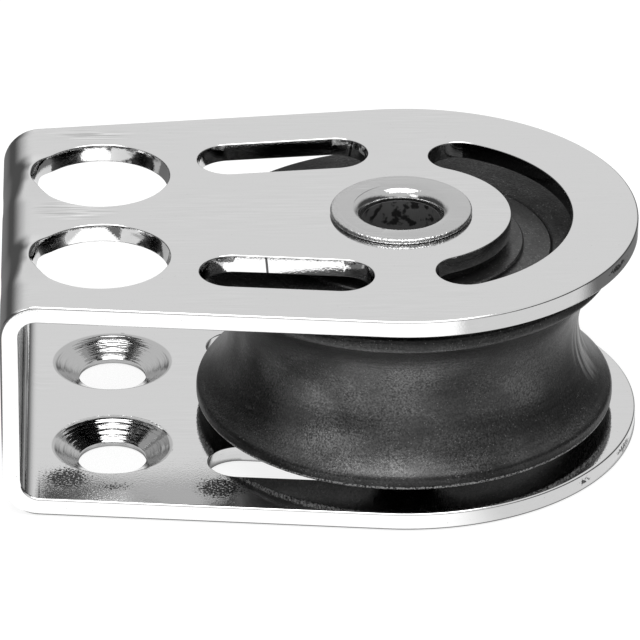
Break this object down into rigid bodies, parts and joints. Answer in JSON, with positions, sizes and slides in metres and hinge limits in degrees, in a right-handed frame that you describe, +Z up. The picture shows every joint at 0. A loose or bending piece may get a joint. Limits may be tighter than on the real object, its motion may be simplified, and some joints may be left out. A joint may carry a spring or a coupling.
{
  "type": "sailing block",
  "caption": "Fixed deck block: a bent sheet-steel frame with a grooved sheave that turns between its cheeks on a roller bearing round a hollow rivet.",
  "frame": {"origin": "on the mounting face, midway between the two screw holes", "axes": "+X from the web to the round end, +Z up out of the deck and along the sheave's axle, +Y across the block"},
  "size_m": [0.0551, 0.0402, 0.0208],
  "materials": {
    "frame_steel": "mirror-polished stainless sheet, edges tumbled round",
    "rivet_steel": "polished stainless tube with a formed flange",
    "sleeve_steel": "ground stainless tube",
    "sheave_plastic": "dark moulded acetal, worn by rope",
    "cover_plastic": "dark moulded acetal",
    "cage_plastic": "moulded nylon",
    "roller_plastic": "turned acetal"
  },
  "bodies": {
    "frame": {"cheek_frame": "frame_steel", "hollow_rivet": "rivet_steel", "spacer_sleeve": "sleeve_steel"},
    "sheave": {"sheave": "sheave_plastic", "upper_bearing_cover": "cover_plastic", "lower_bearing_cover": "cover_plastic"},
    "cage": {"roller_cage": "cage_plastic"},
    "roller_01": {"roller_01": "roller_plastic"},
    "roller_02": {"roller_02": "roller_plastic"},
    "roller_03": {"roller_03": "roller_plastic"},
    "roller_04": {"roller_04": "roller_plastic"},
    "roller_05": {"roller_05": "roller_plastic"},
    "roller_06": {"roller_06": "roller_plastic"},
    "roller_07": {"roller_07": "roller_plastic"},
    "roller_08": {"roller_08": "roller_plastic"},
    "roller_09": {"roller_09": "roller_plastic"},
    "roller_10": {"roller_10": "roller_plastic"},
    "roller_11": {"roller_11": "roller_plastic"},
    "roller_12": {"roller_12": "roller_plastic"},
    "roller_13": {"roller_13": "roller_plastic"},
    "roller_14": {"roller_14": "roller_plastic"}
  },
  "joints": [
    {"name": "sheave_spin", "type": "hinge", "parent": "frame", "child": "sheave", "pos_m": [0.0255, 0, 0.01], "axis": [0, 0, 1], "continuous": true},
    {"name": "cage_orbit", "type": "hinge", "parent": "frame", "child": "cage", "pos_m": [0.0255, 0, 0.01], "axis": [0, 0, 1], "continuous": true},
    {"name": "roller_01_spin", "type": "hinge", "parent": "cage", "child": "roller_01", "pos_m": [0.03335, 0, 0.01], "axis": [0, 0, 1], "continuous": true},
    {"name": "roller_02_spin", "type": "hinge", "parent": "cage", "child": "roller_02", "pos_m": [0.03257, 0.00341, 0.01], "axis": [0, 0, 1], "continuous": true},
    {"name": "roller_03_spin", "type": "hinge", "parent": "cage", "child": "roller_03", "pos_m": [0.03039, 0.00614, 0.01], "axis": [0, 0, 1], "continuous": true},
    {"name": "roller_04_spin", "type": "hinge", "parent": "cage", "child": "roller_04", "pos_m": [0.02725, 0.00765, 0.01], "axis": [0, 0, 1], "continuous": true},
    {"name": "roller_05_spin", "type": "hinge", "parent": "cage", "child": "roller_05", "pos_m": [0.02375, 0.00765, 0.01], "axis": [0, 0, 1], "continuous": true},
    {"name": "roller_06_spin", "type": "hinge", "parent": "cage", "child": "roller_06", "pos_m": [0.02061, 0.00614, 0.01], "axis": [0, 0, 1], "continuous": true},
    {"name": "roller_07_spin", "type": "hinge", "parent": "cage", "child": "roller_07", "pos_m": [0.01843, 0.00341, 0.01], "axis": [0, 0, 1], "continuous": true},
    {"name": "roller_08_spin", "type": "hinge", "parent": "cage", "child": "roller_08", "pos_m": [0.01765, 0, 0.01], "axis": [0, 0, 1], "continuous": true},
    {"name": "roller_09_spin", "type": "hinge", "parent": "cage", "child": "roller_09", "pos_m": [0.01843, -0.00341, 0.01], "axis": [0, 0, 1], "continuous": true},
    {"name": "roller_10_spin", "type": "hinge", "parent": "cage", "child": "roller_10", "pos_m": [0.02061, -0.00614, 0.01], "axis": [0, 0, 1], "continuous": true},
    {"name": "roller_11_spin", "type": "hinge", "parent": "cage", "child": "roller_11", "pos_m": [0.02375, -0.00765, 0.01], "axis": [0, 0, 1], "continuous": true},
    {"name": "roller_12_spin", "type": "hinge", "parent": "cage", "child": "roller_12", "pos_m": [0.02725, -0.00765, 0.01], "axis": [0, 0, 1], "continuous": true},
    {"name": "roller_13_spin", "type": "hinge", "parent": "cage", "child": "roller_13", "pos_m": [0.03039, -0.00614, 0.01], "axis": [0, 0, 1], "continuous": true},
    {"name": "roller_14_spin", "type": "hinge", "parent": "cage", "child": "roller_14", "pos_m": [0.03257, -0.00341, 0.01], "axis": [0, 0, 1], "continuous": true}
  ],
  "couplings": [
    {"joint": "cage_orbit", "follows": "sheave_spin", "ratio": 0.58599},
    {"joint": "roller_01_spin", "follows": "sheave_spin", "ratio": 2.9299},
    {"joint": "roller_02_spin", "follows": "sheave_spin", "ratio": 2.9299},
    {"joint": "roller_03_spin", "follows": "sheave_spin", "ratio": 2.9299},
    {"joint": "roller_04_spin", "follows": "sheave_spin", "ratio": 2.9299},
    {"joint": "roller_05_spin", "follows": "sheave_spin", "ratio": 2.9299},
    {"joint": "roller_06_spin", "follows": "sheave_spin", "ratio": 2.9299},
    {"joint": "roller_07_spin", "follows": "sheave_spin", "ratio": 2.9299},
    {"joint": "roller_08_spin", "follows": "sheave_spin", "ratio": 2.9299},
    {"joint": "roller_09_spin", "follows": "sheave_spin", "ratio": 2.9299},
    {"joint": "roller_10_spin", "follows": "sheave_spin", "ratio": 2.9299},
    {"joint": "roller_11_spin", "follows": "sheave_spin", "ratio": 2.9299},
    {"joint": "roller_12_spin", "follows": "sheave_spin", "ratio": 2.9299},
    {"joint": "roller_13_spin", "follows": "sheave_spin", "ratio": 2.9299},
    {"joint": "roller_14_spin", "follows": "sheave_spin", "ratio": 2.9299}
  ]
}
